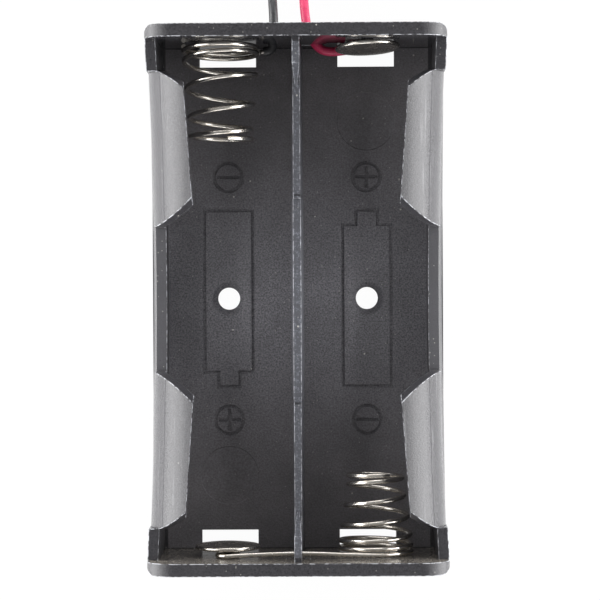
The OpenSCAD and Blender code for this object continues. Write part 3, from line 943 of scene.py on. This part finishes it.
# %% [markdown]
# ### The parting line
#
# Where the mould's halves met, a fine line runs along each clip, 56 degrees down from
# its top. It is too low for a shape of its own and shows as a duller line, so it lowers
# the reflection there. It stands at one angle round the clip's axis, which bows outwards
# with the side wall, and wanders a little from it.

# %% Parting line and relief
PARTING_ANGLE = 0.977
PARTING_FADE = (0.003, 0.011)
PARTING_WANDER = 0.012
PARTING_DULLS = 0.42
bow = product(tree, maths(tree, "POWER", along, 2), CLIP_BOW)
out_from_axis = maths(tree, "SUBTRACT", maths(tree, "SUBTRACT", across, CLIP_AXIS.x), bow)
above_axis = maths(tree, "SUBTRACT", z, CLIP_AXIS.y)
lean = maths(tree, "ARCTAN2", out_from_axis, above_axis)
wander = maths(tree, "MULTIPLY_ADD", cloud, PARTING_WANDER, -PARTING_WANDER / 2)
off_line = maths(
    tree, "ABSOLUTE", maths(tree, "ADD", maths(tree, "SUBTRACT", lean, PARTING_ANGLE), wander)
)
line = product(tree, opposite(tree, stepped(tree, off_line, *PARTING_FADE)), clip)
reflection = maths(tree, "MULTIPLY_ADD", line, -PARTING_DULLS, 0.5)
tree.links.new(reflection, shader.inputs["Specular IOR Level"])
rough_places = maths(tree, "ADD", product(tree, clip, 0.35), edge)
raised(tree, shader, [
    (product(tree, fine, opposite(tree, polish)), 0.00002, 0.6),
    (product(tree, coarse, rough_places), 0.00002, 0.5),
])
print("black plastic:", len(tree.nodes), "nodes")

# %% [markdown]
# ## Nickel plate
#
# The wires and nails are plated with nickel: a warm white metal with fine drawing marks
# and small stains. The nails have faint rings from the tool that shaped their heads.

# %% Nickel
# How fast the rings follow each other, in radians for each metre of radius.
RINGS = 14000.0


def nickel_finish(name, least_roughness, with_rings):
    """Nickel plate, with or without the turned rings of a nail's head."""
    material, tree, shader, place = finish(name, 0.2, 1.0)
    stain = placed(tree, grain, place, Scale=700.0, Detail=4.0)
    pits = placed(tree, grain, place, Scale=6000.0, Detail=3.0)
    colour = blended(tree, product(tree, stain, 0.6), (0.84, 0.81, 0.76), (0.66, 0.60, 0.52))
    colour = blended(tree, product(tree, pits, 0.2), colour, (0.45, 0.40, 0.33))
    tree.links.new(colour, shader.inputs["Base Color"])
    uneven = maths(tree, "MULTIPLY_ADD", stain, 0.14, least_roughness)
    tree.links.new(uneven, shader.inputs["Roughness"])
    heights = [(pits, 0.000006, 0.35)]
    if with_rings:
        x, y, z = separated(tree, place)
        side = maths(tree, "SUBTRACT", maths(tree, "ABSOLUTE", x), BAY_X)
        up = maths(tree, "SUBTRACT", z, NAIL_Z)
        squares = [
            maths(tree, "POWER", maths(tree, "ABSOLUTE", part), 2) for part in (side, up)
        ]
        radius = maths(tree, "SQRT", maths(tree, "ADD", *squares))
        wave = maths(tree, "SINE", product(tree, radius, RINGS))
        heights.append((maths(tree, "MULTIPLY_ADD", wave, 0.5, 0.5), 0.00001, 0.4))
    raised(tree, shader, heights)
    print(name + ":", len(tree.nodes), "nodes")
    return material


nickel = nickel_finish("nickel_wire", 0.14, with_rings=False)
nickel_nail = nickel_finish("nickel_nail", 0.17, with_rings=True)

# %% [markdown]
# ## Solder and insulation
#
# Solder is duller and greyer than nickel, and lumpy. The insulation is soft PVC, which
# is a little waxy, with a soft sheen and a few grains of dust.

# %% Solder
tin, tree, shader, place = finish("solder_tin", 0.4, 1.0)
lumps = placed(tree, grain, place, Scale=2500.0, Detail=4.0)
colour = blended(tree, lumps, (0.52, 0.50, 0.47), (0.30, 0.27, 0.24))
tree.links.new(colour, shader.inputs["Base Color"])
raised(tree, shader, [(lumps, 0.00003, 0.6)])
print("solder:", len(tree.nodes), "nodes")


# %% Insulation
def pvc(name, dark, light, roughness):
    """Soft insulation, from a darker to a lighter tone of its colour."""
    material, tree, shader, place = finish(
        name, roughness, Specular_IOR_Level=0.5, Coat_Weight=0.15, Coat_Roughness=0.25
    )
    waxy = placed(tree, grain, place, Scale=900.0, Detail=3.0)
    dust = placed(tree, specks, place, Scale=1200.0, Size=0.10, Share=0.12)
    colour = blended(tree, waxy, dark, light)
    colour = blended(tree, product(tree, dust, 0.5), colour, (0.5, 0.48, 0.46))
    tree.links.new(colour, shader.inputs["Base Color"])
    tree.links.new(maths(tree, "MULTIPLY_ADD", waxy, 0.12, roughness), shader.inputs["Roughness"])
    raised(tree, shader, [(waxy, 0.00002, 0.4)])
    print(name + ":", len(tree.nodes), "nodes")
    return material


red = pvc("red_insulation", (0.70, 0.035, 0.125), (0.80, 0.055, 0.165), 0.36)
black = pvc("black_insulation", (0.035, 0.035, 0.038), (0.065, 0.065, 0.07), 0.34)


# %% Give each piece its finish
def dress(piece, material):
    piece.data.materials.clear()
    piece.data.materials.append(material)


dress(moulding, plastic)
for piece in (left_spring, right_spring):
    dress(piece, nickel)
for piece in (left_nail, right_nail):
    dress(piece, nickel_nail)
for piece in (black_joint, red_joint, black_strands, red_strands):
    dress(piece, tin)
dress(black_lead, black)
dress(red_lead, red)
print("finishes:", len(bpy.data.materials))
